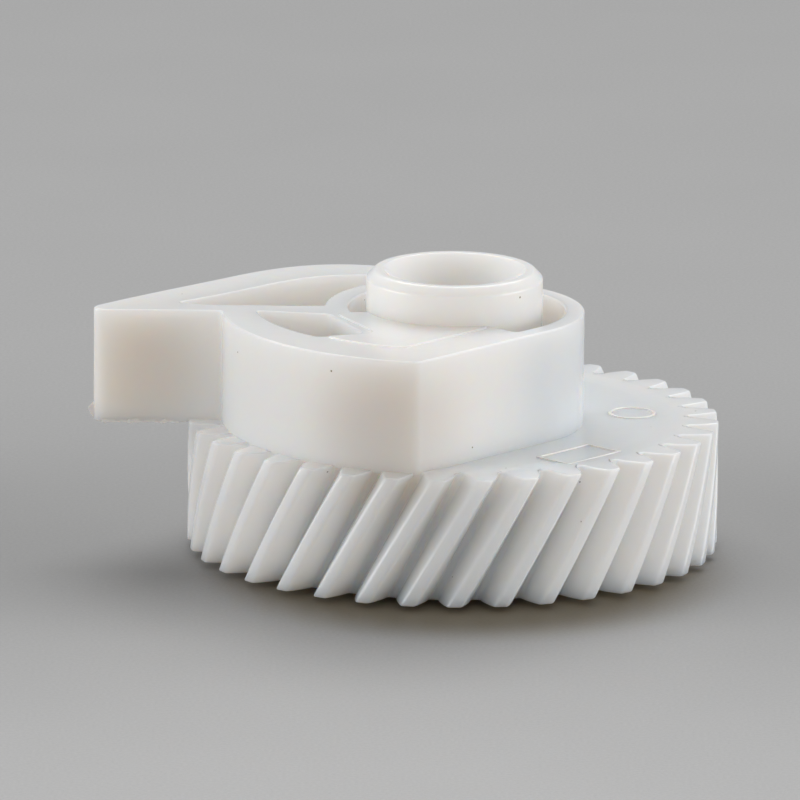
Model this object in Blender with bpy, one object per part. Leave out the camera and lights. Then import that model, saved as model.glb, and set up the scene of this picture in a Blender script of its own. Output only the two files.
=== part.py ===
"""Helical gear with a snail cam and a hub boss, moulded in white acetal.

The real thing is one moulding. It is divided here at its functional features, so that each wall,
rib, web, hub and boss is a solid of its own. The gear's axis is Z, the cam's flat faces -Y and +X,
its nose points to -X, and z = 0 is the face of the lower hub that the gear runs on.
"""

import math

import bmesh
import bpy

MM = 0.001
SEAM = 0.2 * MM  # left open between neighbouring solids

# Teeth
TEETH = 36
NORMAL_MODULE = 0.82 * MM
HELIX = math.radians(29.5)  # right-hand
PRESSURE_ANGLE = math.radians(20)
TOOTH_SHARE = 0.56  # of the pitch, measured on the pitch circle
PITCH_RADIUS = TEETH * NORMAL_MODULE / (2 * math.cos(HELIX))
TIP_RADIUS = PITCH_RADIUS + NORMAL_MODULE
ROOT_RADIUS = PITCH_RADIUS - 1.44 * NORMAL_MODULE
TOOTH_PHASE = math.radians(-99.7)  # a tooth's middle at the lower end face
FLANK_POINTS = 4
TWIST_STEPS = 4

# Heights
HUB_FOOT = 0.4 * MM  # the lower hub stands proud of the rim by this
FACE_WIDTH = 8.6 * MM
CAM_HEIGHT = 7.5 * MM
BOSS_HEIGHT = 2.6 * MM
PLATFORM_RISE = 0.1 * MM
RIM_LOW = HUB_FOOT
RIM_TOP = RIM_LOW + FACE_WIDTH
CAM_LOW = RIM_TOP + SEAM
CAM_TOP = RIM_TOP + CAM_HEIGHT
BOSS_TOP = CAM_TOP + BOSS_HEIGHT

# Rim, web, hub and boss
RIM_INNER_RADIUS = 14.3 * MM
WEB_THICKNESS = 2.3 * MM
WEB_SINK = 0.1 * MM  # the web's face lies this far below the rim's
HUB_RADIUS = 5.9 * MM
BORE_RADIUS = 2.25 * MM
BORE_CHAMFER = 0.4 * MM
COUNTERSINK_RADIUS = 4.7 * MM
COUNTERSINK_DEPTH = 2.1 * MM
BOSS_CHAMFER = 0.55 * MM
ROUND_STEPS = 72

# Cam: the dwell arc and its wall
DWELL_CENTRE = (0.1 * MM, -0.4 * MM)
DWELL_RADIUS = 15.65 * MM
DWELL_INNER_RADIUS = 12.45 * MM
DWELL_INNER_GROWTH = 0.9 * MM  # the wall gets thinner by this from the platform to the nose

# Cam: the flat, tangent to the small base circle
FLAT_DIRECTION = math.radians(-43.4)  # of its outward normal
BASE_CENTRE = (0.2 * MM, -0.7 * MM)
BASE_RADIUS = 8.5 * MM
BASE_END = math.radians(60)  # where the rise leaves the base circle, seen from its centre
FLAT_WALL = 3.0 * MM
THIN_WALL = 1.25 * MM  # beside the slot round the boss
SLOT_START = -2.4 * MM  # along the flat, from the foot of its normal

# Cam: the rise up the far side, and the nose
RISE_END = (-14.9 * MM, 8.5 * MM)
RISE_HEADING = math.radians(224.5)
RISE_PULLS = (9.0 * MM, 10.4 * MM)
RISE_WALL = 3.45 * MM
NOSE_TIP = (-24.1 * MM, -1.6 * MM)  # how far the nose reaches to -X, and its face's Y
NOSE_ROUND = 0.75 * MM
NOSE_HEADING = math.radians(228)  # of the flank where it reaches the rounded tip
FLANK_PULLS = (4.0 * MM, 4.0 * MM)
NOSE_ROOT_X = -15.6 * MM
POCKET_TIP = (-18.5 * MM, 0.65 * MM)  # where the far pocket runs out in the nose
OUTLINE_STEPS = 16

# Cam: rib, collar and platform inside
RIB_FAR_Y = 0.0
RIB_NEAR = ((-11.3 * MM, -1.95 * MM), (-12.8 * MM, NOSE_TIP[1]))
COLLAR_RADIUS = 8.65 * MM
COLLAR_WALL = 1.55 * MM
COLLAR_START = math.radians(122)
COLLAR_END = math.radians(196)
PLATFORM_TIP = (-6.05 * MM, -7.75 * MM)
PLATFORM_ON_DWELL = math.radians(-137)  # seen from the dwell's centre

# Moulded marks on the web
RING_MARK_PLACE = (12.0 * MM, 1.5 * MM)
RING_MARK_RADIUS = 1.6 * MM
FRAME_MARK_ALONG = (-3.9 * MM, 0.95 * MM)
FRAME_MARK_OUT = (11.4 * MM, 13.7 * MM)
MARK_WIDTH = 0.25 * MM
MARK_HEIGHT = 0.12 * MM

ACETAL = (0.86, 0.85, 0.83, 1.0)


def clear_scene():
    for obj in list(bpy.data.objects):
        bpy.data.objects.remove(obj, do_unlink=True)


def acetal(name):
    material = bpy.data.materials.new(name)
    material.use_nodes = True
    shader = material.node_tree.nodes["Principled BSDF"]
    shader.inputs["Base Color"].default_value = ACETAL
    shader.inputs["Roughness"].default_value = 0.28
    shader.inputs["Metallic"].default_value = 0.0
    return material


def add_solid(name, mesh):
    """Links a finished bmesh as the object of this name, shaded smooth with sharp edges kept."""
    bmesh.ops.recalc_face_normals(mesh, faces=mesh.faces)
    data = bpy.data.meshes.new(name)
    mesh.to_mesh(data)
    mesh.free()
    data.shade_smooth()
    data.set_sharp_from_angle(angle=math.radians(30))
    data.materials.append(acetal(name))
    obj = bpy.data.objects.new(name, data)
    bpy.context.scene.collection.objects.link(obj)
    return obj


def polar(radius, angle):
    return (radius * math.cos(angle), radius * math.sin(angle))


def angle_of(point):
    return math.atan2(point[1], point[0])


def moved_along(point, heading, distance):
    return (point[0] + distance * math.cos(heading), point[1] + distance * math.sin(heading))


def arc(radius, start, end, steps):
    """Points round the axis between two angles, both ends among them."""
    return [polar(radius, start + (end - start) * i / steps) for i in range(steps + 1)]


def bezier(a, b, c, d, steps):
    points = []
    for i in range(steps + 1):
        t = i / steps
        s = 1 - t
        weights = (s**3, 3 * s * s * t, 3 * s * t * t, t**3)
        x = sum(w * p[0] for w, p in zip(weights, (a, b, c, d)))
        y = sum(w * p[1] for w, p in zip(weights, (a, b, c, d)))
        points.append((x, y))
    return points


def shifted(points, distance):
    """An open line moved to its left by a distance."""
    moved = []
    for i, (x, y) in enumerate(points):
        before = points[max(i - 1, 0)]
        after = points[min(i + 1, len(points) - 1)]
        dx, dy = after[0] - before[0], after[1] - before[1]
        length = math.hypot(dx, dy)
        moved.append((x - dy / length * distance, y + dx / length * distance))
    return moved


def outside(points, radius):
    """The points, those nearer the axis than this radius pushed out to it."""
    return [polar(max(radius, math.hypot(*point)), angle_of(point)) for point in points]


def prism(name, outline, low, high):
    """A plan outline raised between two heights."""
    mesh = bmesh.new()
    bottom = [mesh.verts.new((x, y, low)) for x, y in outline]
    top = [mesh.verts.new((x, y, high)) for x, y in outline]
    mesh.faces.new(bottom)
    mesh.faces.new(top)
    for i in range(len(outline)):
        j = (i + 1) % len(outline)
        mesh.faces.new((bottom[i], bottom[j], top[j], top[i]))
    return add_solid(name, mesh)


def skin_between(mesh, loops):
    """Quads between each loop and the next, the last joined to the first."""
    for first, second in zip(loops, loops[1:] + loops[:1]):
        for i in range(len(first)):
            j = (i + 1) % len(first)
            mesh.faces.new((first[i], first[j], second[j], second[i]))


def turned(name, profile, steps=ROUND_STEPS, centre=(0.0, 0.0)):
    """A closed profile of (radius, height) points turned round an upright line."""
    mesh = bmesh.new()
    loops = []
    for radius, height in profile:
        ring = [polar(radius, 2 * math.pi * i / steps) for i in range(steps)]
        loops.append([mesh.verts.new((x + centre[0], y + centre[1], height)) for x, y in ring])
    skin_between(mesh, loops)
    return add_solid(name, mesh)


def involute(angle):
    return math.tan(angle) - angle


def tooth_outline():
    """One tooth in plan as (radius, angle) points, symmetric about angle 0."""
    transverse = math.atan(math.tan(PRESSURE_ANGLE) / math.cos(HELIX))
    base_radius = PITCH_RADIUS * math.cos(transverse)
    flank = []
    for i in range(FLANK_POINTS):
        radius = ROOT_RADIUS + (TIP_RADIUS - ROOT_RADIUS) * i / (FLANK_POINTS - 1)
        roll = math.acos(base_radius / radius)
        half = math.pi * TOOTH_SHARE / TEETH + involute(transverse) - involute(roll)
        flank.append((radius, half))
    return [(r, -a) for r, a in flank] + [(r, a) for r, a in reversed(flank)]


def toothed_rim():
    tooth = tooth_outline()
    count = TEETH * len(tooth)
    twist = FACE_WIDTH * math.tan(HELIX) / PITCH_RADIUS
    mesh = bmesh.new()
    loops = []
    for step in range(TWIST_STEPS + 1):
        share = step / TWIST_STEPS
        height = RIM_LOW + FACE_WIDTH * share
        turn = TOOTH_PHASE + twist * share
        loop = []
        for index in range(TEETH):
            middle = turn + 2 * math.pi * index / TEETH
            loop += [polar(radius, middle + angle) for radius, angle in tooth]
        loops.append([mesh.verts.new((x, y, height)) for x, y in loop])
    for share in (1, 0):
        start = TOOTH_PHASE + twist * share - math.pi * (len(tooth) - 1) / count
        height = RIM_LOW + FACE_WIDTH * share
        ring = [polar(RIM_INNER_RADIUS, start + 2 * math.pi * i / count) for i in range(count)]
        loops.append([mesh.verts.new((x, y, height)) for x, y in ring])
    skin_between(mesh, loops)
    return add_solid("toothed_rim", mesh)


def gear_web():
    high = RIM_TOP - WEB_SINK
    low = high - WEB_THICKNESS
    inner = HUB_RADIUS + SEAM
    outer = RIM_INNER_RADIUS - SEAM
    return turned("gear_web", [(inner, low), (outer, low), (outer, high), (inner, high)])


def lower_hub():
    profile = [
        (BORE_RADIUS + BORE_CHAMFER, 0),
        (HUB_RADIUS - BORE_CHAMFER, 0),
        (HUB_RADIUS, BORE_CHAMFER),
        (HUB_RADIUS, RIM_TOP),
        (BORE_RADIUS, RIM_TOP),
        (BORE_RADIUS, BORE_CHAMFER),
    ]
    return turned("lower_hub", profile)


def hub_boss():
    profile = [
        (BORE_RADIUS, CAM_LOW),
        (HUB_RADIUS, CAM_LOW),
        (HUB_RADIUS, BOSS_TOP - BOSS_CHAMFER),
        (HUB_RADIUS - BOSS_CHAMFER, BOSS_TOP),
        (COUNTERSINK_RADIUS, BOSS_TOP),
        (BORE_RADIUS, BOSS_TOP - COUNTERSINK_DEPTH),
    ]
    return turned("hub_boss", profile)


def axis_distance(point, direction):
    return point[0] * math.cos(direction) + point[1] * math.sin(direction)


def flat_distance():
    """From the gear's axis to the flat, which touches the base circle."""
    return axis_distance(BASE_CENTRE, FLAT_DIRECTION) + BASE_RADIUS


def flat_end():
    """Where the flat touches the base circle, as a distance along the flat."""
    return axis_distance(BASE_CENTRE, FLAT_DIRECTION + math.pi / 2)


def on_flat(distance, along):
    """A point this far from the axis along the flat's normal, and this far along the flat."""
    return moved_along(polar(distance, FLAT_DIRECTION), FLAT_DIRECTION + math.pi / 2, along)


def flat_meets_dwell(distance, radius):
    """The angle, from the dwell's centre, where a line parallel to the flat crosses a dwell circle."""
    height = distance - axis_distance(DWELL_CENTRE, FLAT_DIRECTION)
    return FLAT_DIRECTION - math.acos(height / radius)


def nose_meets_dwell(radius):
    """The angle, from the dwell's centre, where the nose's face crosses a dwell circle."""
    return -math.pi - math.asin((NOSE_TIP[1] - SEAM - DWELL_CENTRE[1]) / radius)


def dwell_arc(radius, start, end, steps=OUTLINE_STEPS):
    return [(x + DWELL_CENTRE[0], y + DWELL_CENTRE[1]) for x, y in arc(radius, start, end, steps)]


def dwell_inner_side():
    """From the nose round to the flat. The wall is thinnest at the nose, and even from the platform on."""
    start = nose_meets_dwell(DWELL_INNER_RADIUS + DWELL_INNER_GROWTH)
    end = flat_meets_dwell(flat_distance(), DWELL_INNER_RADIUS)
    points = []
    for i in range(2 * OUTLINE_STEPS + 1):
        angle = start + (end - start) * i / (2 * OUTLINE_STEPS)
        share = max(0, (PLATFORM_ON_DWELL - angle) / (PLATFORM_ON_DWELL - start))
        points += dwell_arc(DWELL_INNER_RADIUS + DWELL_INNER_GROWTH * share, angle, angle, 1)[:1]
    return points


def dwell_wall():
    outer = DWELL_RADIUS
    outline = dwell_arc(outer, flat_meets_dwell(flat_distance(), outer), nose_meets_dwell(outer))
    return prism("cam_dwell_wall", outline + dwell_inner_side(), CAM_LOW, CAM_TOP)


def flat_wall():
    outer = flat_distance()
    inner = outer - FLAT_WALL
    clear_radius = DWELL_INNER_RADIUS - SEAM
    ends = flat_meets_dwell(inner, clear_radius), flat_meets_dwell(outer, clear_radius)
    outline = dwell_arc(clear_radius, *ends, 4)
    outline += [
        on_flat(outer, flat_end() - SEAM),
        on_flat(outer - THIN_WALL, flat_end() - SEAM),
        on_flat(outer - THIN_WALL, SLOT_START),
        on_flat(inner, SLOT_START),
    ]
    return prism("cam_flat_wall", outline, CAM_LOW, CAM_TOP)


def base_arc(radius):
    """Round the base circle's centre, from the flat to the rise."""
    around = arc(radius, FLAT_DIRECTION, BASE_END, OUTLINE_STEPS)
    return [(x + BASE_CENTRE[0], y + BASE_CENTRE[1]) for x, y in around]


def base_wall():
    inner = outside(base_arc(BASE_RADIUS - THIN_WALL), HUB_RADIUS + SEAM)
    return prism("cam_base_wall", base_arc(BASE_RADIUS) + inner[::-1], CAM_LOW, CAM_TOP)


def rise_line():
    """The outline from the base circle up the far side to the start of the nose's flank."""
    start = base_arc(BASE_RADIUS)[-1]
    leave = moved_along(start, BASE_END + math.pi / 2, RISE_PULLS[0])
    arrive = moved_along(RISE_END, RISE_HEADING, -RISE_PULLS[1])
    return bezier(start, leave, arrive, RISE_END, OUTLINE_STEPS)


def flank_line():
    """The outline from the end of the rise, round the nose's tip, to the start of the nose's face."""
    around = arc(NOSE_ROUND, NOSE_HEADING - math.pi / 2, 1.5 * math.pi, 6)
    tip = [(NOSE_TIP[0] + NOSE_ROUND + x, NOSE_TIP[1] + NOSE_ROUND + y) for x, y in around]
    leave = moved_along(RISE_END, RISE_HEADING, FLANK_PULLS[0])
    arrive = moved_along(tip[0], NOSE_HEADING, -FLANK_PULLS[1])
    return bezier(RISE_END, leave, arrive, tip[0], OUTLINE_STEPS) + tip[1:]


def rise_wall():
    """From the base wall to the nose, thin where it starts and thick from halfway on."""
    outer = rise_line() + flank_line()[1 : OUTLINE_STEPS // 2]
    thick = shifted(outer, RISE_WALL)
    thin = shifted(outer, THIN_WALL)
    inner = []
    for i, (a, b) in enumerate(zip(thin, thick)):
        share = min(1, 2 * i / len(outer))
        inner.append((a[0] + (b[0] - a[0]) * share, a[1] + (b[1] - a[1]) * share))
    inner = outside(inner, HUB_RADIUS + SEAM)
    last = moved_along(POCKET_TIP, RISE_HEADING + math.pi, SEAM)
    return prism("cam_rise_wall", outer[1:] + [last] + inner[:0:-1], CAM_LOW, CAM_TOP)


def nose():
    flank = flank_line()[OUTLINE_STEPS // 2 :]
    outline = flank + [(NOSE_ROOT_X, NOSE_TIP[1]), (NOSE_ROOT_X, RIB_FAR_Y), POCKET_TIP]
    return prism("cam_nose", outline, CAM_LOW, CAM_TOP)


def rib():
    clear_radius = COLLAR_RADIUS + SEAM
    outline = [
        (NOSE_ROOT_X + SEAM, RIB_FAR_Y),
        (-clear_radius, RIB_FAR_Y),
        polar(clear_radius, COLLAR_END),
        *RIB_NEAR,
        (NOSE_ROOT_X + SEAM, NOSE_TIP[1]),
    ]
    return prism("cam_rib", outline, CAM_LOW, CAM_TOP)


def collar():
    outer = arc(COLLAR_RADIUS, COLLAR_START, COLLAR_END, OUTLINE_STEPS)
    inner = arc(COLLAR_RADIUS - COLLAR_WALL, COLLAR_END, COLLAR_START, OUTLINE_STEPS)
    return prism("boss_collar", outer + inner, CAM_LOW, CAM_TOP)


def platform():
    line = flat_distance() - FLAT_WALL - SEAM
    clear_radius = DWELL_INNER_RADIUS - SEAM
    left = COLLAR_END + SEAM / COLLAR_RADIUS
    right = angle_of(on_flat(line, SLOT_START)) + 2 * math.pi
    outline = arc(HUB_RADIUS + SEAM, left, right, OUTLINE_STEPS)
    outline.append(on_flat(line, SLOT_START))
    outline += dwell_arc(clear_radius, flat_meets_dwell(line, clear_radius), PLATFORM_ON_DWELL)
    outline += [PLATFORM_TIP, polar(COLLAR_RADIUS, left)]
    return prism("boss_platform", outline, CAM_LOW, CAM_TOP + PLATFORM_RISE)


def ring_mark():
    low, high = RIM_TOP, RIM_TOP + MARK_HEIGHT
    outer, inner = RING_MARK_RADIUS, RING_MARK_RADIUS - MARK_WIDTH
    profile = [(inner, low), (outer, low), (outer, high), (inner, high)]
    return turned("web_ring_mark", profile, ROUND_STEPS // 2, RING_MARK_PLACE)


def frame_mark():
    """A raised rectangular outline on the web, square to the cam's flat."""
    mesh = bmesh.new()
    loops = []
    for inset, height in ((0, 0), (0, MARK_HEIGHT), (MARK_WIDTH, MARK_HEIGHT), (MARK_WIDTH, 0)):
        near, far = FRAME_MARK_OUT[0] + inset, FRAME_MARK_OUT[1] - inset
        left, right = FRAME_MARK_ALONG[0] + inset, FRAME_MARK_ALONG[1] - inset
        corners = ((near, left), (far, left), (far, right), (near, right))
        points = [on_flat(distance, along) for distance, along in corners]
        loops.append([mesh.verts.new((x, y, RIM_TOP + height)) for x, y in points])
    skin_between(mesh, loops)
    return add_solid("web_frame_mark", mesh)


def main():
    clear_scene()
    toothed_rim()
    gear_web()
    lower_hub()
    hub_boss()
    dwell_wall()
    flat_wall()
    base_wall()
    rise_wall()
    nose()
    rib()
    collar()
    platform()
    ring_mark()
    frame_mark()


main()
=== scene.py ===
"""Looks of the cam gear: the moulding's fine surface, its acetal, the table, lights and camera."""

import math
import random

import bmesh
import bpy
from mathutils import Matrix, Vector
from mathutils.geometry import delaunay_2d_cdt


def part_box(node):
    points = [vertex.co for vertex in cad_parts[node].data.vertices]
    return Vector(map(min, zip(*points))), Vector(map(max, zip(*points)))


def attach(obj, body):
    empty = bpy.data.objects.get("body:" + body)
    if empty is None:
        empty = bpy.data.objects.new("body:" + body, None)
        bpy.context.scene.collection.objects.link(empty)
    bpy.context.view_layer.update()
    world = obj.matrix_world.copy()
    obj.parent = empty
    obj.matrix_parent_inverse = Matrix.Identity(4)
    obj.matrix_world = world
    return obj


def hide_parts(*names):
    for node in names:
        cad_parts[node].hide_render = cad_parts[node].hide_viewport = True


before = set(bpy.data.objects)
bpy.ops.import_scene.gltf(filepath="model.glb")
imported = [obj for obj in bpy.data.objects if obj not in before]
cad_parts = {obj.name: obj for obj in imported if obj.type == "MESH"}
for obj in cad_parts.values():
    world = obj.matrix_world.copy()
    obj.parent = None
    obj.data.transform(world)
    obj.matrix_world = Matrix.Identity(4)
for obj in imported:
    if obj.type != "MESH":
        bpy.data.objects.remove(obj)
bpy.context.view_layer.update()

MM = 0.001
BODY = "root"

# Heights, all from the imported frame
RIM_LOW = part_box("toothed_rim")[0].z
RIM_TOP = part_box("toothed_rim")[1].z
WEB_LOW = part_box("gear_web")[0].z
WEB_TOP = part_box("gear_web")[1].z
CAM_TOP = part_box("cam_nose")[1].z
PLATFORM_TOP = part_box("boss_platform")[1].z
BOSS_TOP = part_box("hub_boss")[1].z
CAM_FOOT = WEB_TOP - 0.1 * MM  # the cam's walls start just inside the web
FACE_WIDTH = RIM_TOP - RIM_LOW

# Teeth
TEETH = 36
NORMAL_MODULE = 0.82 * MM
HELIX = math.radians(29.5)
PRESSURE_ANGLE = math.radians(20)
TOOTH_SHARE = 0.56  # of the pitch, measured on the pitch circle
PITCH_RADIUS = TEETH * NORMAL_MODULE / (2 * math.cos(HELIX))
TIP_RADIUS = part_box("toothed_rim")[1].y
ROOT_RADIUS = PITCH_RADIUS - 1.44 * NORMAL_MODULE
TOOTH_PHASE = math.radians(-99.7)  # a tooth's middle at the lower end face
TOOTH_POINTS = 44  # on each tooth
TOOTH_SOFTENING = 2
TWIST_STEPS = 14
TOOTH_END_ROUND = 0.12 * MM

# Round features
HUB_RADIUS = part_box("lower_hub")[1].x
BORE_RADIUS = 2.25 * MM
BORE_CHAMFER = 0.4 * MM
COUNTERSINK_RADIUS = 4.7 * MM
COUNTERSINK_DEPTH = 2.1 * MM
BOSS_CHAMFER = 0.55 * MM
BOSS_ROUND = 0.3 * MM
RIM_INNER_RADIUS = 14.3 * MM
INSIDE_HUB = HUB_RADIUS - 0.4 * MM  # the gear blank ends here, hidden in the hub
RECESS_FILLET = 0.4 * MM
RECESS_EDGE_ROUND = 0.15 * MM
HUB_STEPS = 160

# Cam outline
DWELL_CENTRE = (0.1 * MM, -0.4 * MM)
DWELL_RADIUS = 15.65 * MM
DWELL_INNER_RADIUS = 12.45 * MM
DWELL_INNER_GROWTH = 0.9 * MM  # the wall gets thinner by this from the platform to the nose
FLAT_DIRECTION = math.radians(-43.4)  # of its outward normal
BASE_CENTRE = (0.2 * MM, -0.7 * MM)
BASE_RADIUS = 8.5 * MM
BASE_END = math.radians(60)  # where the rise leaves the base circle
FLAT_WALL = 3.0 * MM
THIN_WALL = 1.25 * MM  # beside the slot round the boss
SLOT_START = -2.4 * MM  # along the flat, from the foot of its normal
RISE_END = (-14.9 * MM, 8.5 * MM)
RISE_HEADING = math.radians(224.5)
RISE_PULLS = (9.0 * MM, 10.4 * MM)
RISE_WALL = 3.45 * MM
NOSE_TIP = (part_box("cam_nose")[0].x, -1.6 * MM)
NOSE_ROUND = 0.75 * MM
NOSE_HEADING = math.radians(228)
FLANK_PULLS = (4.0 * MM, 4.0 * MM)
POCKET_TIP = (-18.5 * MM, 0.65 * MM)  # where the far pocket runs out in the nose
RIB_FAR_START = (-15.9 * MM, 0.0)
RIB_NEAR = ((-11.3 * MM, -1.95 * MM), (-12.8 * MM, NOSE_TIP[1]))
COLLAR_RADIUS = 8.65 * MM
COLLAR_WALL = 1.55 * MM
COLLAR_START = math.radians(122)
COLLAR_END = math.radians(196)
PLATFORM_TIP = (-6.05 * MM, -7.75 * MM)
PLATFORM_ON_DWELL = math.radians(-137)
OUTLINE_STEP = 0.16 * MM
CAM_ROUND = 0.13 * MM
CORNER_SOFTENING = 6
FLAT_LIP = 0.03 * MM  # of a flat face, beside its rounded edge
SLIVER = 1e-4  # square millimetres

# Flash: where its lip ends, and the flake's heights, reaches and half thicknesses in millimetres
FLASH_END = -18.2 * MM
FLAKE = (
    (0.05, -0.15, 0.05),
    (0.25, 0.06, 0.1),
    (0.5, 0.22, 0.08),
    (0.72, 0.34, 0.05),
    (0.85, 0.27, 0.07),
    (1.05, 0.08, 0.08),
    (1.3, -0.12, 0.04),
)

# Marks on the web
RING_MARK_PLACE = (12.0 * MM, 1.5 * MM)
RING_MARK_RADIUS = 1.6 * MM
RING_MARK_STEPS = 72
FRAME_MARK_ALONG = (-4.2 * MM, 0.95 * MM)
FRAME_MARK_OUT = (11.4 * MM, 14.4 * MM)
MARK_WIDTH = 0.25 * MM
MARK_TOP = WEB_TOP + 0.09 * MM

# Acetal. An edge is a pair of distances, and one tone gives way to the other between them
CLOUDY_COLOURS = ((0.88, 0.866, 0.848, 1), (0.915, 0.904, 0.89, 1))
ROUGHNESS = (0.15, 0.27)
SCATTER_RADII = (1.0, 0.78, 0.6)  # of red, green and blue, as shares of the scatter distance
DEEP_SCATTER = 5.0 * MM
SHALLOW_SCATTER = 0.05 * MM  # for thin pieces, which would turn dark with the deep one
# Painted shade: the web's flat top is greyer, where less of the light comes back
WEB_CENTRE = (0.4 * MM, -1.1 * MM, WEB_TOP)
WEB_EDGE = (14.9 * MM, 15.4 * MM)
WEB_FLATNESS = 40  # heights count this many times as much as distances along the web
WEB_SHADE_COLOUR = (0.88, 0.88, 0.87, 1)
SPECK_CELLS = 520.0  # to the metre
SPECK_SIZE = 0.036  # of a cell
SPECKLESS_SHARE = 0.55  # of the cells
SPECK_COLOUR = (0.3, 0.26, 0.21, 1)

# Painted shade, darker and warmer, at the thickest places: the middle of the nose's face, and the
# dwell's face beside the platform
THICK_SHADE_PLACES = ((-20.8 * MM, -1.6 * MM, 11.8 * MM), (-4.2 * MM, -15.6 * MM, 11.5 * MM))
THICK_SHADE_EDGE = (1.5 * MM, 7.5 * MM)
THICK_SHADE_COLOUR = (0.79, 0.76, 0.725, 1)

# Table, with painted shade: a dark band across it at the gear's depth, and a little darker behind the
# gear: greys at shares of the way from near to far
TABLE_NEAR = -0.10
TABLE_FAR = 0.20
TABLE_SHADE_GREYS = (
    (0.0, 0.57),
    (0.15, 0.56),
    (0.26, 0.41),
    (0.33, 0.29),
    (0.43, 0.42),
    (0.55, 0.43),
    (0.75, 0.41),
    (1.0, 0.38),
)
TABLE_NOISES = ((60.0, 6.0, 0.06), (4200.0, 1.0, 0.18))  # each one's scale, detail and strength

# Painted shadow on the table, dimmest and warmest under the gear's near edge, where no light gets in
# from behind
CONTACT_SHADOW_CENTRE = (1.0 * MM, -7.0 * MM, 0.0)
CONTACT_SHADOW_EDGE = (12.5 * MM, 19.0 * MM)
CONTACT_SHADOW_TINT = (0.6, 0.52, 0.38, 1)

# Softboxes: place and size in metres, watts and colour
LIT_POINT = (0, 0, 0.01)
SOFTBOXES = {
    "top_softbox": ((0.0, 0.30, 0.40), (0.5, 0.3), 1.7, (1, 1, 1)),
    "left_softbox": ((-0.5, -0.05, 0.08), (0.4, 0.14), 1.08, (1, 1, 1)),
    "right_softbox": ((0.5, -0.07, 0.08), (0.4, 0.14), 1.15, (1, 1, 1)),
    "front_softbox": ((0.0, -0.9, 0.14), (0.9, 0.24), 1.0, (1.0, 0.93, 0.86)),
}
STUDIO_STRENGTH = 0.33

# Camera, in the photograph's direction
CAMERA_ELEVATION = 0.2416
CAMERA_ROLL = 0.0081
CAMERA_DISTANCE = 0.738
CAMERA_RIGHT = -3.5 * MM
CAMERA_UP = 9.3 * MM
CAMERA_LENS = 494.7


# ---------------------------------------------------------------- plan outlines

def polar(radius, angle):
    return (radius * math.cos(angle), radius * math.sin(angle))


def moved_along(point, heading, distance):
    return (point[0] + distance * math.cos(heading), point[1] + distance * math.sin(heading))


def arc(radius, start, end, steps=24, centre=(0.0, 0.0)):
    points = []
    for i in range(steps + 1):
        x, y = polar(radius, start + (end - start) * i / steps)
        points.append((x + centre[0], y + centre[1]))
    return points


def bezier(a, b, c, d, steps=24):
    points = []
    for i in range(steps + 1):
        t = i / steps
        s = 1 - t
        weights = (s**3, 3 * s * s * t, 3 * s * t * t, t**3)
        x = sum(w * p[0] for w, p in zip(weights, (a, b, c, d)))
        y = sum(w * p[1] for w, p in zip(weights, (a, b, c, d)))
        points.append((x, y))
    return points


def resampled(loop, step):
    """A closed outline with points evenly spaced along it, about a step apart."""
    ends = loop[1:] + loop[:1]
    lengths = [math.dist(a, b) for a, b in zip(loop, ends)]
    total = sum(lengths)
    count = max(8, round(total / step))
    points = []
    segment, walked = 0, 0.0
    for i in range(count):
        target = total * i / count
        while walked + lengths[segment] < target:
            walked += lengths[segment]
            segment += 1
        share = (target - walked) / lengths[segment] if lengths[segment] else 0.0
        a, b = loop[segment], ends[segment]
        points.append((a[0] + (b[0] - a[0]) * share, a[1] + (b[1] - a[1]) * share))
    return points


def softened(loop, passes):
    """A closed outline with its corners rounded off a little by each pass."""
    for _ in range(passes):
        before = loop[-1:] + loop[:-1]
        after = loop[1:] + loop[:1]
        loop = [
            ((a[0] + 2 * p[0] + b[0]) / 4, (a[1] + 2 * p[1] + b[1]) / 4)
            for a, p, b in zip(before, loop, after)
        ]
    return loop


def inset(loop, distance):
    """A closed outline moved to its left by a distance."""
    if not distance:
        return loop
    moved = []
    before = loop[-1:] + loop[:-1]
    after = loop[1:] + loop[:1]
    for a, (x, y), b in zip(before, loop, after):
        dx, dy = b[0] - a[0], b[1] - a[1]
        length = math.hypot(dx, dy)
        moved.append((x - dy / length * distance, y + dx / length * distance))
    return moved


def shrunk(loop, distance, steps=5):
    """A closed outline moved to its left in small steps, rounded and evened out after each."""
    for _ in range(steps):
        loop = resampled(softened(inset(loop, distance / steps), 2), OUTLINE_STEP)
    return loop


def rounded_rings(low, high, low_round, high_round, steps=4):
    """(inset, height) pairs up a wall with a rounded foot and top, and a flat lip at each."""
    rings = [(low_round + FLAT_LIP, low)]
    for i in range(steps + 1):
        angle = math.pi / 2 * i / steps
        rings.append((low_round * (1 - math.sin(angle)), low + low_round * (1 - math.cos(angle))))
    for i in range(steps + 1):
        angle = math.pi / 2 * i / steps
        drop = high_round * (1 - math.sin(angle))
        rings.append((high_round * (1 - math.cos(angle)), high - drop))
    rings.append((high_round + FLAT_LIP, high))
    return rings


# ---------------------------------------------------------------- meshes

def linked(name, mesh):
    """Links a bmesh as an object."""
    bmesh.ops.recalc_face_normals(mesh, faces=mesh.faces)
    data = bpy.data.meshes.new(name)
    mesh.to_mesh(data)
    mesh.free()
    obj = bpy.data.objects.new(name, data)
    bpy.context.scene.collection.objects.link(obj)
    return obj


def dressed(obj, material, nodes, sharp=math.radians(60)):
    """Makes an object a piece on the moulding, and hides the CAD nodes it stands for."""
    obj.data.set_sharp_from_angle(angle=sharp)
    obj.data.materials.clear()
    obj.data.materials.append(material)
    weighted = obj.modifiers.new("flat faces stay flat", "WEIGHTED_NORMAL")
    weighted.keep_sharp = True
    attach(obj, BODY)
    if nodes:
        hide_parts(*nodes)
    return obj


def finished(name, mesh, material, nodes, sharp=math.radians(60)):
    return dressed(linked(name, mesh), material, nodes, sharp)


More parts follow.
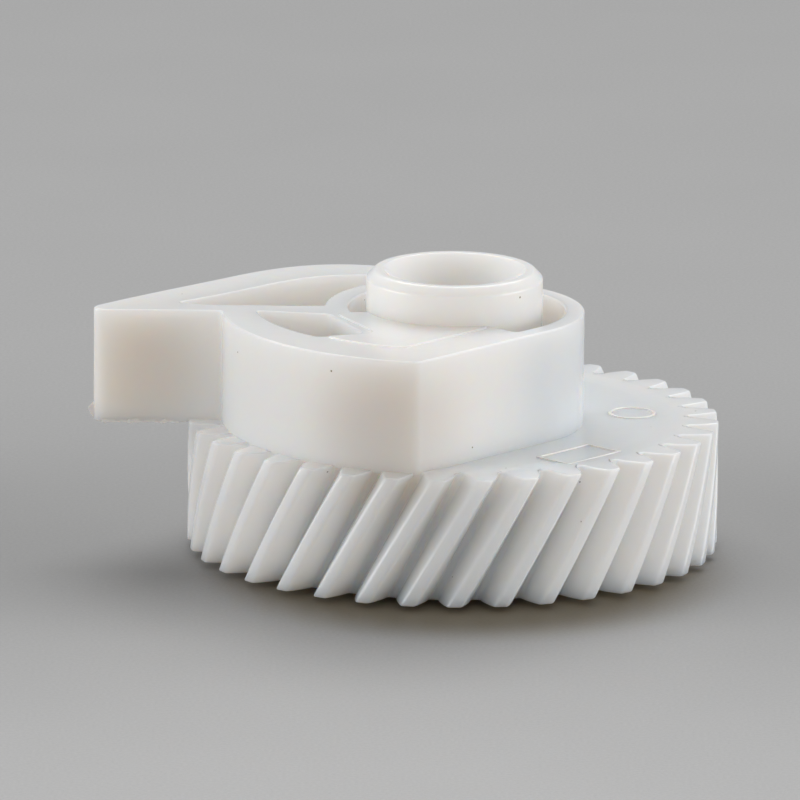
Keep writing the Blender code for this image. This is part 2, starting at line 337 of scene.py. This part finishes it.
def united(name, first, second):
    """One closed skin round two objects that overlap. They are used up."""
    union = first.modifiers.new("union", "BOOLEAN")
    union.operation = "UNION"
    union.solver = "MANIFOLD"
    union.object = second
    bpy.context.view_layer.update()
    seen = first.evaluated_get(bpy.context.evaluated_depsgraph_get())
    data = bpy.data.meshes.new_from_object(seen)
    for used in (first, second):
        bpy.data.objects.remove(used, do_unlink=True)
    obj = bpy.data.objects.new(name, data)
    bpy.context.scene.collection.objects.link(obj)
    return obj


def new_ring(mesh, points, height):
    return [mesh.verts.new((x, y, height)) for x, y in points]


def skin(mesh, first, second):
    for i in range(len(first)):
        j = (i + 1) % len(first)
        mesh.faces.new((first[i], first[j], second[j], second[i])).smooth = True


def is_within(x, y, loops):
    """Whether a point lies inside an odd number of closed outlines."""
    inside = False
    for loop in loops:
        for (ax, ay), (bx, by) in zip(loop, loop[1:] + loop[:1]):
            if (ay > y) != (by > y) and x < ax + (y - ay) * (bx - ax) / (by - ay):
                inside = not inside
    return inside


def regions(triangles, borders):
    """Groups triangles that meet across edges which aren't borders."""
    across = {}
    for index, triangle in enumerate(triangles):
        for a, b in zip(triangle, triangle[1:] + triangle[:1]):
            if (a, b) not in borders and (b, a) not in borders:
                across.setdefault(frozenset((a, b)), []).append(index)
    beside = {index: [] for index in range(len(triangles))}
    for pair in across.values():
        if len(pair) == 2:
            beside[pair[0]].append(pair[1])
            beside[pair[1]].append(pair[0])
    groups, left = [], set(beside)
    while left:
        todo = [left.pop()]
        group = []
        while todo:
            index = todo.pop()
            group.append(index)
            fresh = [other for other in beside[index] if other in left]
            left.difference_update(fresh)
            todo += fresh
        groups.append(group)
    return groups


def cap(mesh, rings):
    """A flat face inside the first ring and outside the others."""
    corners = [vertex for ring in rings for vertex in ring]
    loops = [[(v.co.x / MM, v.co.y / MM) for v in ring] for ring in rings]
    borders, first = [], 0
    for ring in rings:
        borders += [(first + i, first + (i + 1) % len(ring)) for i in range(len(ring))]
        first += len(ring)
    flat = [Vector(point) for loop in loops for point in loop]
    points, _, triangles, sources, _, _ = delaunay_2d_cdt(flat, borders, [], 0, 1e-6)
    if len(points) > len(corners):
        raise ValueError(f"outlines cross near {[tuple(p) for p in points[len(corners):]]}")
    triangles = [[sources[i][0] for i in triangle] for triangle in triangles]

    def area(index):
        a, b, c = (flat[i] for i in triangles[index])
        return abs((b - a).cross(c - a)) / 2

    for group in regions(triangles, set(borders)):
        largest = max(group, key=area)
        x, y = sum((flat[i] for i in triangles[largest]), Vector((0, 0))) / 3
        if area(largest) > SLIVER and is_within(x, y, loops):
            for index in group:
                mesh.faces.new([corners[i] for i in triangles[index]])


def wall(mesh, loop, rings):
    """Skins an outline up through (inset, height) pairs, and returns its first and last ring."""
    made = [new_ring(mesh, inset(loop, distance), height) for distance, height in rings]
    for first, second in zip(made, made[1:]):
        skin(mesh, first, second)
    return made[0], made[-1]


def turn(mesh, profile, steps, centre=(0.0, 0.0)):
    """Skins a closed (radius, height) profile round an upright line."""
    rings = []
    last = 2 * math.pi * (1 - 1 / steps)
    for radius, height in profile:
        rings.append(new_ring(mesh, arc(radius, 0, last, steps - 1, centre), height))
    for first, second in zip(rings, rings[1:] + rings[:1]):
        skin(mesh, first, second)


def corner(centre, radius, start, end, steps=5):
    """An arc of a turned profile, between two angles in degrees."""
    points = []
    for i in range(steps + 1):
        angle = math.radians(start + (end - start) * i / steps)
        points.append((centre[0] + radius * math.cos(angle), centre[1] + radius * math.sin(angle)))
    return points


# ---------------------------------------------------------------- gear blank

def involute(angle):
    return math.tan(angle) - angle


def tooth_outline():
    """All the teeth in plan, with their corners rounded, the same number of points each."""
    transverse = math.atan(math.tan(PRESSURE_ANGLE) / math.cos(HELIX))
    base_radius = PITCH_RADIUS * math.cos(transverse)
    flank = []
    steps = 12
    for i in range(steps + 1):
        radius = ROOT_RADIUS + (TIP_RADIUS - ROOT_RADIUS) * i / steps
        roll = math.acos(min(1, base_radius / radius))
        half = math.pi * TOOTH_SHARE / TEETH + involute(transverse) - involute(roll)
        flank.append((radius, half))
    tooth = [(r, -a) for r, a in flank] + [(r, a) for r, a in reversed(flank)]
    loop = []
    for index in range(TEETH):
        middle = 2 * math.pi * index / TEETH
        loop += [polar(radius, middle + angle) for radius, angle in tooth]
    step = sum(math.dist(a, b) for a, b in zip(loop, loop[1:] + loop[:1])) / (TEETH * TOOTH_POINTS)
    return softened(resampled(loop, step), TOOTH_SOFTENING)


def turned_by(loop, angle):
    c, s = math.cos(angle), math.sin(angle)
    return [(x * c - y * s, x * s + y * c) for x, y in loop]


def tooth_heights():
    """(inset, height) pairs up the teeth, close together where their ends are rounded."""
    ends = rounded_rings(RIM_LOW, RIM_TOP, TOOTH_END_ROUND, TOOTH_END_ROUND, 3)
    half = len(ends) // 2
    straight = FACE_WIDTH - 2 * TOOTH_END_ROUND
    middle = []
    for i in range(1, TWIST_STEPS):
        middle.append((0.0, RIM_LOW + TOOTH_END_ROUND + straight * i / TWIST_STEPS))
    return ends[:half] + middle + ends[half:]


def dish_profile():
    """(radius, height) pairs inwards over the top, down a shallow step from the rim to the web."""
    return [
        (ROOT_RADIUS - 0.35 * MM, RIM_TOP),
        (ROOT_RADIUS - 0.6 * MM, RIM_TOP - 0.01 * MM),
        (RIM_INNER_RADIUS + 0.2 * MM, RIM_TOP - 0.05 * MM),
        (RIM_INNER_RADIUS - 0.4 * MM, WEB_TOP + 0.01 * MM),
        (RIM_INNER_RADIUS - 0.7 * MM, WEB_TOP),
        (INSIDE_HUB, WEB_TOP),
    ]


def recess_profile():
    """(radius, height) pairs outwards underneath, with filleted corners and a rounded edge."""
    below = WEB_LOW - RECESS_FILLET
    points = [(INSIDE_HUB, below)]
    points += corner((HUB_RADIUS + 0.05 * MM + RECESS_FILLET, below), RECESS_FILLET, 180, 90)
    points += corner((RIM_INNER_RADIUS - RECESS_FILLET, below), RECESS_FILLET, 90, 0)
    edge = (RIM_INNER_RADIUS + RECESS_EDGE_ROUND, RIM_LOW + RECESS_EDGE_ROUND)
    return points + corner(edge, RECESS_EDGE_ROUND, 180, 270, 3)


def gear_blank():
    """The toothed rim and its web in one skin: up the teeth, in over the top and back underneath."""
    mesh = bmesh.new()
    teeth = tooth_outline()
    twist = FACE_WIDTH * math.tan(HELIX) / PITCH_RADIUS
    rings = []
    for distance, height in tooth_heights():
        angle = TOOTH_PHASE + twist * (height - RIM_LOW) / FACE_WIDTH
        rings.append(new_ring(mesh, turned_by(inset(teeth, distance), angle), height))
    start = math.atan2(rings[-1][0].co.y, rings[-1][0].co.x)
    dish, under = dish_profile(), recess_profile()
    count = len(teeth)
    once_round = 2 * math.pi * (1 - 1 / count)
    angles = [start] * len(dish) + [start - twist] * len(under)
    for (radius, height), angle in zip(dish + under, angles):
        rings.append(new_ring(mesh, arc(radius, angle, angle + once_round, count - 1), height))
    for first, second in zip(rings, rings[1:] + rings[:1]):
        skin(mesh, first, second)
    return linked("gear_blank", mesh)


def hub_body():
    """The hub from the face it runs on up to the boss, its chamfered shoulder, countersink and bore."""
    mesh = bmesh.new()
    foot_edge, land_edge = 0.15 * MM, 0.12 * MM
    profile = [(BORE_RADIUS, BORE_CHAMFER), (BORE_RADIUS + BORE_CHAMFER, 0)]
    profile += corner((HUB_RADIUS - foot_edge, foot_edge), foot_edge, -90, 0, 4)
    drop = math.tan(math.radians(22.5)) * BOSS_ROUND
    profile += corner((HUB_RADIUS - BOSS_ROUND, BOSS_TOP - BOSS_CHAMFER - drop), BOSS_ROUND, 0, 45, 4)
    profile += corner((HUB_RADIUS - BOSS_CHAMFER - drop, BOSS_TOP - BOSS_ROUND), BOSS_ROUND, 45, 90, 4)
    profile += corner((COUNTERSINK_RADIUS + land_edge, BOSS_TOP - land_edge), land_edge, 90, 150, 3)
    slope = COUNTERSINK_RADIUS - BORE_RADIUS
    profile.append((BORE_RADIUS + slope * 0.04, BOSS_TOP - COUNTERSINK_DEPTH * 0.98))
    profile.append((BORE_RADIUS, BOSS_TOP - COUNTERSINK_DEPTH * 1.05))
    turn(mesh, profile, HUB_STEPS)
    return linked("hub_body", mesh)


# ---------------------------------------------------------------- cam

def axis_distance(point, direction):
    return point[0] * math.cos(direction) + point[1] * math.sin(direction)


FLAT_DISTANCE = axis_distance(BASE_CENTRE, FLAT_DIRECTION) + BASE_RADIUS


def on_flat(distance, along):
    return moved_along(polar(distance, FLAT_DIRECTION), FLAT_DIRECTION + math.pi / 2, along)


def flat_meets_dwell(distance, radius):
    height = distance - axis_distance(DWELL_CENTRE, FLAT_DIRECTION)
    return FLAT_DIRECTION - math.acos(height / radius)


def nose_meets_dwell(radius):
    return -math.pi - math.asin((NOSE_TIP[1] - DWELL_CENTRE[1]) / radius)


def base_arc(radius):
    return arc(radius, FLAT_DIRECTION, BASE_END, 40, BASE_CENTRE)


def rise_line():
    start = base_arc(BASE_RADIUS)[-1]
    leave = moved_along(start, BASE_END + math.pi / 2, RISE_PULLS[0])
    arrive = moved_along(RISE_END, RISE_HEADING, -RISE_PULLS[1])
    return bezier(start, leave, arrive, RISE_END, 40)


def flank_line():
    around = arc(NOSE_ROUND, NOSE_HEADING - math.pi / 2, 1.5 * math.pi, 12)
    tip = [(NOSE_TIP[0] + NOSE_ROUND + x, NOSE_TIP[1] + NOSE_ROUND + y) for x, y in around]
    leave = moved_along(RISE_END, RISE_HEADING, FLANK_PULLS[0])
    arrive = moved_along(tip[0], NOSE_HEADING, -FLANK_PULLS[1])
    return bezier(RISE_END, leave, arrive, tip[0], 24) + tip[1:]


def shifted(points, distance):
    """An open line moved to its left by a distance."""
    moved = []
    for i, (x, y) in enumerate(points):
        before = points[max(i - 1, 0)]
        after = points[min(i + 1, len(points) - 1)]
        dx, dy = after[0] - before[0], after[1] - before[1]
        length = math.hypot(dx, dy)
        moved.append((x - dy / length * distance, y + dx / length * distance))
    return moved


def cam_outline():
    ends = nose_meets_dwell(DWELL_RADIUS), flat_meets_dwell(FLAT_DISTANCE, DWELL_RADIUS)
    outline = arc(DWELL_RADIUS, *ends, 60, DWELL_CENTRE)
    return outline + base_arc(BASE_RADIUS) + rise_line()[1:] + flank_line()[1:]


def far_hollow():
    """The far pocket, the slots on both sides of the boss, and the hole that the boss fills."""
    inside_boss = HUB_RADIUS - 0.15 * MM
    collar_inner = COLLAR_RADIUS - COLLAR_WALL
    outline = [POCKET_TIP, RIB_FAR_START]
    outline += arc(COLLAR_RADIUS, math.pi, COLLAR_START)
    outline += arc(collar_inner, COLLAR_START, COLLAR_END)
    slot_foot = on_flat(math.sqrt(inside_boss**2 - SLOT_START**2), SLOT_START)
    foot_angle = math.atan2(slot_foot[1], slot_foot[0]) + 2 * math.pi
    outline += arc(inside_boss, COLLAR_END, foot_angle)
    outline += [on_flat(FLAT_DISTANCE - THIN_WALL, SLOT_START)]
    outline += base_arc(BASE_RADIUS - THIN_WALL)
    outer = rise_line() + flank_line()[1:10]
    thick, thin = shifted(outer, RISE_WALL), shifted(outer, THIN_WALL)
    for i, (a, b) in enumerate(zip(thin, thick)):
        share = min(1, 2 * i / len(outer))
        point = (a[0] + (b[0] - a[0]) * share, a[1] + (b[1] - a[1]) * share)
        if i and point[0] > POCKET_TIP[0] + 0.3 * MM:
            outline.append(point)
    return outline


def near_hollow():
    """The near pocket. The dwell wall gets thicker along it, away from the nose."""
    outline = [PLATFORM_TIP, polar(COLLAR_RADIUS, COLLAR_END), *RIB_NEAR]
    start = nose_meets_dwell(DWELL_INNER_RADIUS + DWELL_INNER_GROWTH)
    steps = 30
    for i in range(steps + 1):
        angle = start + (PLATFORM_ON_DWELL - start) * i / steps
        x, y = polar(DWELL_INNER_RADIUS + DWELL_INNER_GROWTH * (1 - i / steps), angle)
        outline.append((x + DWELL_CENTRE[0], y + DWELL_CENTRE[1]))
    return outline


def platform_outline():
    line = FLAT_DISTANCE - FLAT_WALL
    ends = PLATFORM_ON_DWELL, flat_meets_dwell(line, DWELL_INNER_RADIUS)
    beside_boss = HUB_RADIUS - 0.05 * MM
    outline = arc(DWELL_INNER_RADIUS, *ends, 30, DWELL_CENTRE)
    outline.append(on_flat(line, SLOT_START))
    foot = on_flat(math.sqrt(beside_boss**2 - SLOT_START**2), SLOT_START)
    outline += arc(beside_boss, math.atan2(foot[1], foot[0]), COLLAR_END - 2 * math.pi)
    beside_tip = (PLATFORM_TIP[0] + 0.6 * MM, PLATFORM_TIP[1] - 0.1 * MM)
    return outline + [polar(COLLAR_RADIUS, COLLAR_END), beside_tip]


def cam_body():
    """All the cam's walls, rib, collar and platform as one skin."""
    mesh = bmesh.new()
    loops = [cam_outline(), far_hollow()[::-1], near_hollow()[::-1]]
    lows, highs = [], []
    for loop in loops:
        loop = softened(resampled(loop, OUTLINE_STEP), CORNER_SOFTENING)
        low, high = wall(mesh, loop, rounded_rings(CAM_FOOT, CAM_TOP, 0.08 * MM, CAM_ROUND))
        lows.append(low)
        highs.append(high)
    raised = softened(resampled(platform_outline(), OUTLINE_STEP), CORNER_SOFTENING)
    raised = shrunk(raised, CAM_ROUND + 0.14 * MM)
    steps = [
        (0.0, CAM_TOP),
        (0.02 * MM, PLATFORM_TOP - 0.03 * MM),
        (0.06 * MM, PLATFORM_TOP),
        (0.06 * MM + FLAT_LIP, PLATFORM_TOP),
    ]
    foot, crown = wall(mesh, raised, steps)
    cap(mesh, lows)
    cap(mesh, highs + [foot])
    cap(mesh, [crown])
    return linked("cam_body", mesh)


def moulding(material):
    """Gear, cam and hub in one skin, as light spreads through the plastic from each to the next."""
    gear = united("gear_and_cam", gear_blank(), cam_body())
    obj = united("gear_cam_and_hub", gear, hub_body())
    nodes = ["toothed_rim", "gear_web", "lower_hub", "hub_boss", "boss_collar", "boss_platform"]
    nodes += ["cam_dwell_wall", "cam_flat_wall", "cam_base_wall", "cam_rise_wall"]
    nodes += ["cam_nose", "cam_rib"]
    return dressed(obj, material, nodes)


# ---------------------------------------------------------------- marks and flash

def ring_mark(material):
    low = WEB_TOP - 0.03 * MM
    round_over = 0.05 * MM
    outer, inner = RING_MARK_RADIUS, RING_MARK_RADIUS - MARK_WIDTH
    profile = [(inner, low), (outer, low)]
    profile += corner((outer - round_over, MARK_TOP - round_over), round_over, 0, 90, 3)
    profile += corner((inner + round_over, MARK_TOP - round_over), round_over, 90, 180, 3)
    mesh = bmesh.new()
    turn(mesh, profile, RING_MARK_STEPS, RING_MARK_PLACE)
    return finished("ring_mark", mesh, material, ["web_ring_mark"])


def rectangle(margin):
    """The frame mark's plan, square to the cam's flat, moved inwards by a margin."""
    near, far = FRAME_MARK_OUT[0] + margin, FRAME_MARK_OUT[1] - margin
    left, right = FRAME_MARK_ALONG[0] + margin, FRAME_MARK_ALONG[1] - margin
    corners = [on_flat(near, left), on_flat(far, left), on_flat(far, right), on_flat(near, right)]
    return softened(resampled(corners, 0.08 * MM), 2)


def frame_mark(material):
    mesh = bmesh.new()
    edge = 0.04 * MM
    rings = [
        (0.0, WEB_TOP - 0.03 * MM),
        (0.0, MARK_TOP - edge),
        (0.3 * edge, MARK_TOP - 0.3 * edge),
        (edge, MARK_TOP),
    ]
    ends = [wall(mesh, loop, rings) for loop in (rectangle(0), rectangle(MARK_WIDTH)[::-1])]
    cap(mesh, [end[0] for end in ends])
    cap(mesh, [end[1] for end in ends])
    return finished("frame_mark", mesh, material, ["web_frame_mark"])


def bar_through(mesh, sections):
    """A closed strip through four-cornered sections."""
    rings = [[mesh.verts.new(point) for point in section] for section in sections]
    for first, second in zip(rings, rings[1:]):
        skin(mesh, first, second)
    mesh.faces.new(rings[0][::-1])
    mesh.faces.new(rings[-1])


def nose_flash(material):
    """Flash at the nose: a ragged lip under its face, and a torn flake at the tip's lower corner."""
    mesh = bmesh.new()
    draw = random.Random(5)
    face, foot = NOSE_TIP[1], CAM_FOOT
    rooted = face + 0.06 * MM
    sections = []
    x = NOSE_TIP[0] + NOSE_ROUND * 0.8
    while x < FLASH_END:
        torn = draw.random() ** 3
        out = (0.02 + 0.08 * torn) * MM
        down = (0.02 + 0.12 * torn) * MM
        up = (0.06 + 0.22 * draw.random() ** 2) * MM
        sections.append([
            (x, rooted, foot - down),
            (x, face - out, foot - 0.5 * down),
            (x, face - 0.3 * out, foot + up),
            (x, rooted, foot + up),
        ])
        x += draw.uniform(0.08, 0.3) * MM
    bar_through(mesh, sections)
    tip_y = NOSE_TIP[1] + NOSE_ROUND
    sections = []
    for height, reach, half in FLAKE:
        z = foot + height * MM
        left, right = NOSE_TIP[0] - reach * MM, NOSE_TIP[0] + 0.25 * MM
        near, far = tip_y - half * MM, tip_y + half * MM
        rooted = [(right, near - 0.1 * MM, z), (right, far + 0.1 * MM, z)]
        sections.append([(left, near, z), *rooted, (left, far, z)])
    bar_through(mesh, sections)
    return finished("nose_flash", mesh, material, [], math.radians(40))


# ---------------------------------------------------------------- materials

class Nodes:
    """Short calls for building a node tree. A value is a plain one or another node's output."""

    def __init__(self, tree):
        self.tree = tree

    def give(self, value, target):
        if isinstance(value, bpy.types.NodeSocket):
            self.tree.links.new(value, target)
        else:
            target.default_value = value

    def add(self, kind, **values):
        """A new node, with each value given to its property of that name, or else to its input."""
        node = self.tree.nodes.new(kind)
        for key, value in values.items():
            if hasattr(node, key):
                setattr(node, key, value)
            else:
                self.give(value, node.inputs[key.replace("_", " ")])
        return node

    def noise(self, place, scale, detail):
        node = self.add("ShaderNodeTexNoise", Vector=place, Scale=scale, Detail=detail)
        return node.outputs["Fac"]

    def math(self, operation, *values):
        node = self.add("ShaderNodeMath", operation=operation)
        for value, target in zip(values, node.inputs):
            self.give(value, target)
        return node.outputs[0]

    def vector_math(self, operation, *values):
        node = self.add("ShaderNodeVectorMath", operation=operation)
        for value, target in zip(values, node.inputs):
            self.give(value, target)
        is_number = operation in ("DISTANCE", "LENGTH")
        return node.outputs["Value" if is_number else "Vector"]

    def smooth_share(self, value, low, high):
        """0 up to low, 1 from high on, and smooth in between."""
        node = self.add("ShaderNodeMapRange", interpolation_type="SMOOTHSTEP", Value=value)
        self.give(low, node.inputs["From Min"])
        self.give(high, node.inputs["From Max"])
        return node.outputs["Result"]

    def mixed(self, share, first, second, blend="MIX"):
        node = self.add("ShaderNodeMix", data_type="RGBA", blend_type=blend)
        for key, value in (("Factor", share), ("A", first), ("B", second)):
            self.give(value, node.inputs[key])
        return node.outputs["Result"]


def new_material(name):
    """A material, short calls for its nodes, its shader, and the place on the object."""
    material = bpy.data.materials.new(name)
    material.use_nodes = True
    n = Nodes(material.node_tree)
    shader = material.node_tree.nodes["Principled BSDF"]
    return material, n, shader, n.add("ShaderNodeTexCoord").outputs["Object"]


def painted_web_shade(n, place, colour):
    """Painted shade: greyer on the flat top of the web, where less of the light comes back."""
    away = n.vector_math("SUBTRACT", place, WEB_CENTRE)
    flattened = n.vector_math("MULTIPLY", away, (1, 1, WEB_FLATNESS))
    share = n.smooth_share(n.vector_math("LENGTH", flattened), *WEB_EDGE)
    return n.mixed(share, WEB_SHADE_COLOUR, colour)


def painted_thick_shade(n, place, colour):
    """Painted shade: darker and warmer where the plastic is thickest, as no light comes through it from
    behind.
    """
    for centre in THICK_SHADE_PLACES:
        share = n.smooth_share(n.vector_math("DISTANCE", place, centre), *THICK_SHADE_EDGE)
        colour = n.mixed(share, THICK_SHADE_COLOUR, colour)
    return colour


def specked(n, place, colour):
    """A speck of dirt in the middle of some cells of a Voronoi pattern."""
    cells = n.add("ShaderNodeTexVoronoi", Vector=place, Scale=SPECK_CELLS)
    near = n.math("LESS_THAN", cells.outputs["Distance"], SPECK_SIZE)
    picked = n.math("GREATER_THAN", cells.outputs["Color"], SPECKLESS_SHARE)
    return n.mixed(n.math("MULTIPLY", near, picked), colour, SPECK_COLOUR)


def flow_bump(n, place):
    """Upright flow streaks and a fine peel, both faint."""
    upright = n.add("ShaderNodeMapping", Vector=place, Scale=(1.0, 1.0, 0.08))
    streaks = n.noise(upright.outputs["Vector"], 420.0, 2.0)
    peel = n.noise(place, 1500.0, 2.0)
    height = n.math("MULTIPLY_ADD", streaks, 2.0, peel)
    bump = n.add("ShaderNodeBump", Strength=0.18, Distance=0.02 * MM, Height=height)
    return bump.outputs["Normal"]


def acetal(name, scatter, has_web_shade=False):
    """Natural white acetal: light scatters a little way in. Cloudy, streaked, with tiny dark specks,
    and painted shade where it is thickest and, if asked, on the web's flat top.
    """
    material, n, shader, place = new_material(name)
    cloud = n.noise(place, 140.0, 3.0)
    colour = n.mixed(cloud, *CLOUDY_COLOURS)
    # painted shade on the web's flat top
    if has_web_shade:
        colour = painted_web_shade(n, place, colour)
    # painted shade at the thickest places, then dirt specks
    colour = specked(n, place, painted_thick_shade(n, place, colour))
    gloss = n.add("ShaderNodeMapRange", Value=cloud, To_Min=ROUGHNESS[0], To_Max=ROUGHNESS[1])
    n.give(colour, shader.inputs["Base Color"])
    n.give(gloss.outputs["Result"], shader.inputs["Roughness"])
    n.give(flow_bump(n, place), shader.inputs["Normal"])
    shader.inputs["Subsurface Weight"].default_value = 1.0
    shader.inputs["Subsurface Scale"].default_value = scatter
    shader.inputs["Subsurface Radius"].default_value = SCATTER_RADII
    shader.inputs["IOR"].default_value = 1.48
    return material


def table_grey_and_painted_shade(n, place):
    """The table's grey, which changes from near to far, with painted shade: a dark band at the gear's
    depth and a darker far part.
    """
    depth = n.add("ShaderNodeSeparateXYZ", Vector=place).outputs["Y"]
    share = n.add("ShaderNodeMapRange", Value=depth, From_Min=TABLE_NEAR, From_Max=TABLE_FAR)
    shades = n.add("ShaderNodeValToRGB", Fac=share.outputs["Result"])
    ramp = shades.color_ramp
    ramp.interpolation = "B_SPLINE"
    for position, _ in TABLE_SHADE_GREYS[1:-1]:
        ramp.elements.new(position)
    for element, (position, grey) in zip(ramp.elements, TABLE_SHADE_GREYS):
        element.position = position
        element.color = (grey, grey, grey, 1)
    return shades.outputs["Color"]


def painted_contact_shadow(n, place, colour):
    """Painted shadow: darker and warmer under the gear's near edge, where the light has come through
    the plastic.
    """
    share = n.smooth_share(n.vector_math("DISTANCE", place, CONTACT_SHADOW_CENTRE), *CONTACT_SHADOW_EDGE)
    tint = n.mixed(share, CONTACT_SHADOW_TINT, (1, 1, 1, 1))
    return n.mixed(1.0, colour, tint, "MULTIPLY")


def table_material():
    material, n, shader, place = new_material("table")
    # painted shade across the table
    colour = table_grey_and_painted_shade(n, place)
    for scale, detail, strength in TABLE_NOISES:
        colour = n.mixed(strength, colour, n.noise(place, scale, detail), "MULTIPLY")
    # painted shadow under the gear's near edge
    n.give(painted_contact_shadow(n, place, colour), shader.inputs["Base Color"])
    shader.inputs["Roughness"].default_value = 0.5
    shader.inputs["IOR"].default_value = 1.45
    return material


# ---------------------------------------------------------------- stage

def add_table():
    mesh = bmesh.new()
    bmesh.ops.create_grid(mesh, x_segments=1, y_segments=1, size=3.0)
    data = bpy.data.meshes.new("table")
    mesh.to_mesh(data)
    mesh.free()
    data.materials.append(table_material())
    table = bpy.data.objects.new("table", data)
    bpy.context.scene.collection.objects.link(table)


def add_softbox(name, place, size, watts, colour):
    light = bpy.data.lights.new(name, "AREA")
    light.shape = "RECTANGLE"
    light.size, light.size_y = size
    light.energy = watts
    light.color = colour
    obj = bpy.data.objects.new(name, light)
    obj.location = place
    obj.rotation_euler = (Vector(LIT_POINT) - Vector(place)).to_track_quat("-Z", "Y").to_euler()
    obj.visible_camera = False
    bpy.context.scene.collection.objects.link(obj)


def add_lights():
    for name, softbox in SOFTBOXES.items():
        add_softbox(name, *softbox)
    world = bpy.data.worlds.new("studio")
    bpy.context.scene.world = world
    world.use_nodes = True
    background = world.node_tree.nodes["Background"]
    background.inputs["Color"].default_value = (1.0, 1.0, 1.0, 1)
    background.inputs["Strength"].default_value = STUDIO_STRENGTH


def add_camera():
    elevation, roll = CAMERA_ELEVATION, CAMERA_ROLL
    back = Vector((0, -math.cos(elevation), math.sin(elevation)))
    level_right = Vector((1, 0, 0))
    level_up = back.cross(level_right)
    right = math.cos(roll) * level_right + math.sin(roll) * level_up
    up = math.cos(roll) * level_up - math.sin(roll) * level_right
    data = bpy.data.cameras.new("camera")
    data.sensor_width = 36.0
    data.lens = CAMERA_LENS
    data.clip_start = 0.01
    camera = bpy.data.objects.new("camera", data)
    bpy.context.scene.collection.objects.link(camera)
    place = Vector((0, 0, 0.5 * MM)) + CAMERA_DISTANCE * back + CAMERA_RIGHT * right + CAMERA_UP * up
    turned_to = Matrix((right, up, back)).transposed()
    camera.matrix_world = Matrix.Translation(place) @ turned_to.to_4x4()
    bpy.context.scene.camera = camera


def main():
    thin = acetal("acetal_marks", SHALLOW_SCATTER)
    moulding(acetal("acetal_moulded", DEEP_SCATTER, has_web_shade=True))
    ring_mark(thin)
    frame_mark(thin)
    nose_flash(thin)
    add_table()
    add_lights()
    add_camera()
    bpy.context.scene.view_settings.view_transform = "Standard"


main()
